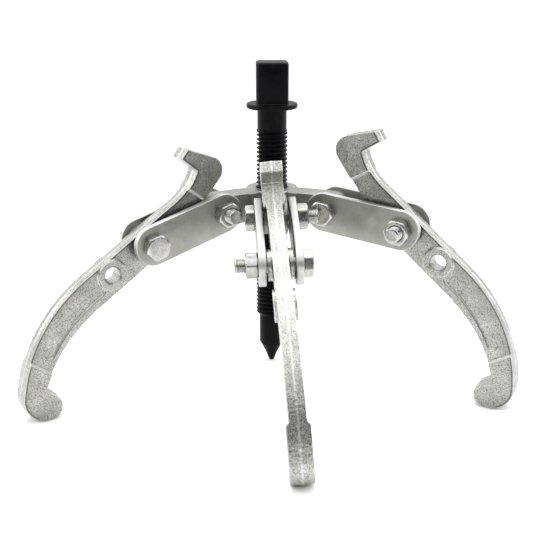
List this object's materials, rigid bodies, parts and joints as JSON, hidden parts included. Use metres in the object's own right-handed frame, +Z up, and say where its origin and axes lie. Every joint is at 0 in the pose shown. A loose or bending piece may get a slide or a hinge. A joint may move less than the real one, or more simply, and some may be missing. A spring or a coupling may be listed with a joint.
{
  "type": "gear puller",
  "caption": "Reversible jaw gear puller: a square-headed forcing screw with a centre point runs through a lugged crosshead, and hooked jaws swing on pairs of link plates.",
  "frame": {"origin": "the flat tip of the screw's centre point, which stands on the bench", "axes": "+Z up the screw's axis towards the square head; -Y towards the front arm; +X towards the right arm's side"},
  "size_m": [0.2714, 0.2058, 0.18],
  "materials": {
    "forged_jaws": "zinc-plated forging, fine matt grain",
    "link_steel": "satin plated strip",
    "plated_fasteners": "bright zinc",
    "cast_crosshead": "zinc-plated casting, fine matt grain",
    "blackened_steel": "black oxide, satin"
  },
  "bodies": {
    "crosshead": {"crosshead": "cast_crosshead"},
    "point": {"centre_point": "blackened_steel"},
    "screw": {"forcing_screw": "blackened_steel"},
    "front_link": {"front_link_plate_a": "link_steel", "front_link_plate_b": "link_steel", "front_inner_bolt": "plated_fasteners", "front_inner_nut": "plated_fasteners", "front_outer_bolt": "plated_fasteners", "front_outer_nut": "plated_fasteners"},
    "front_jaw": {"front_jaw": "forged_jaws"},
    "right_link": {"right_link_plate_a": "link_steel", "right_link_plate_b": "link_steel", "right_inner_bolt": "plated_fasteners", "right_inner_nut": "plated_fasteners", "right_outer_bolt": "plated_fasteners", "right_outer_nut": "plated_fasteners"},
    "right_jaw": {"right_jaw": "forged_jaws"},
    "left_link": {"left_link_plate_a": "link_steel", "left_link_plate_b": "link_steel", "left_inner_bolt": "plated_fasteners", "left_inner_nut": "plated_fasteners", "left_outer_bolt": "plated_fasteners", "left_outer_nut": "plated_fasteners"},
    "left_jaw": {"left_jaw": "forged_jaws"}
  },
  "joints": [
    {"name": "front_link_swing", "type": "hinge", "parent": "crosshead", "child": "front_link", "pos_m": [0, -0.038, 0.1], "axis": [-0.9995, 0, -0.0314], "range_deg": [-23.1, 40.9]},
    {"name": "front_jaw_swing", "type": "hinge", "parent": "front_link", "child": "front_jaw", "pos_m": [0.00041, -0.08105, 0.08691], "axis": [-0.9969, 0, -0.0785], "range_deg": [-44.7, 1]},
    {"name": "right_link_swing", "type": "hinge", "parent": "crosshead", "child": "right_link", "pos_m": [0.03291, -0.019, 0.1], "axis": [-0.5, -0.866, 0], "range_deg": [-34, 30]},
    {"name": "right_jaw_swing", "type": "hinge", "parent": "right_link", "child": "right_jaw", "pos_m": [0.07167, -0.04138, 0.0953], "axis": [-0.5, -0.866, 0], "range_deg": [-25.5, 20.3]},
    {"name": "left_link_swing", "type": "hinge", "parent": "crosshead", "child": "left_link", "pos_m": [-0.03291, -0.019, 0.1], "axis": [-0.5, 0.866, 0], "range_deg": [-24.8, 39.2]},
    {"name": "left_jaw_swing", "type": "hinge", "parent": "left_link", "child": "left_jaw", "pos_m": [-0.07051, -0.04071, 0.08817], "axis": [-0.5, 0.866, 0], "range_deg": [-41.7, 4]},
    {"name": "screw_feed", "type": "slide", "parent": "crosshead", "child": "point", "axis": [0, 0, 1], "range_m": [-0.03, 0.05]},
    {"name": "screw_turn", "type": "hinge", "parent": "point", "child": "screw", "pos_m": [0, 0, 0.02], "axis": [0, 0, 1], "range_deg": [-4392, 7272]}
  ],
  "couplings": [
    {"joint": "screw_turn", "follows": "screw_feed", "rad_per_m": 2513.3}
  ]
}
